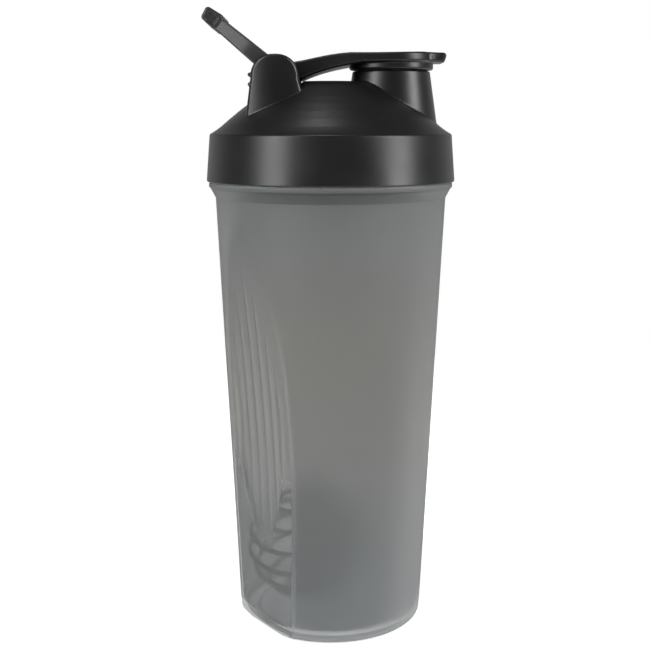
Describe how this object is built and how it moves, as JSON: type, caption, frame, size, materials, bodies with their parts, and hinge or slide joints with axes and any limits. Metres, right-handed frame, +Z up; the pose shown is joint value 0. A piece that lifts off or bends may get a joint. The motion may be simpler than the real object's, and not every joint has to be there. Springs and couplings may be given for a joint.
{
  "type": "protein shaker bottle",
  "caption": "Tapered frosted cup with ribbed grips, screw-on lid with spout, hinged flip cap and carry loop, and a loose wire whisk ball inside.",
  "frame": {"origin": "centre of the foot ring on the table", "axes": "+Z up along the bottle's axis, +X towards the spout, +Y across the hinge"},
  "size_m": [0.0936, 0.0936, 0.2349],
  "materials": {
    "frosted_plastic": "frosted translucent grey polypropylene, clearer on the grips",
    "black_plastic": "satin black polypropylene",
    "grey_black_plastic": "satin grey-black plastic",
    "silicone": "soft matt silicone",
    "stainless": "drawn stainless wire"
  },
  "bodies": {
    "cup": {"cup": "frosted_plastic"},
    "gasket": {"lid_gasket": "silicone"},
    "lid": {"lid_shell": "black_plastic"},
    "cap": {"flip_cap": "black_plastic", "spout_seal": "silicone"},
    "loop": {"carry_loop": "grey_black_plastic"},
    "ball": {"whisk_ball": "stainless"}
  },
  "joints": [
    {"name": "lid_rise", "type": "slide", "parent": "cup", "child": "gasket", "axis": [0, 0, 1], "range_m": [0, 0.0166]},
    {"name": "lid_turn", "type": "hinge", "parent": "gasket", "child": "lid", "pos_m": [0, 0, 0.18], "axis": [0, 0, 1], "range_deg": [0, 1080]},
    {"name": "cap_flip", "type": "hinge", "parent": "lid", "child": "cap", "pos_m": [-0.0194, 0, 0.2096], "axis": [0, -1, 0], "range_deg": [0, 95]},
    {"name": "loop_swing", "type": "hinge", "parent": "lid", "child": "loop", "pos_m": [-0.0194, 0, 0.2096], "axis": [0, -1, 0], "range_deg": [0, 60]},
    {"name": "ball_lift", "type": "slide", "parent": "cup", "child": "ball", "axis": [0, 0, 1], "range_m": [0, 0.1]}
  ],
  "couplings": [
    {"joint": "lid_rise", "follows": "lid_turn", "m_per_rad": 0.00087535}
  ]
}
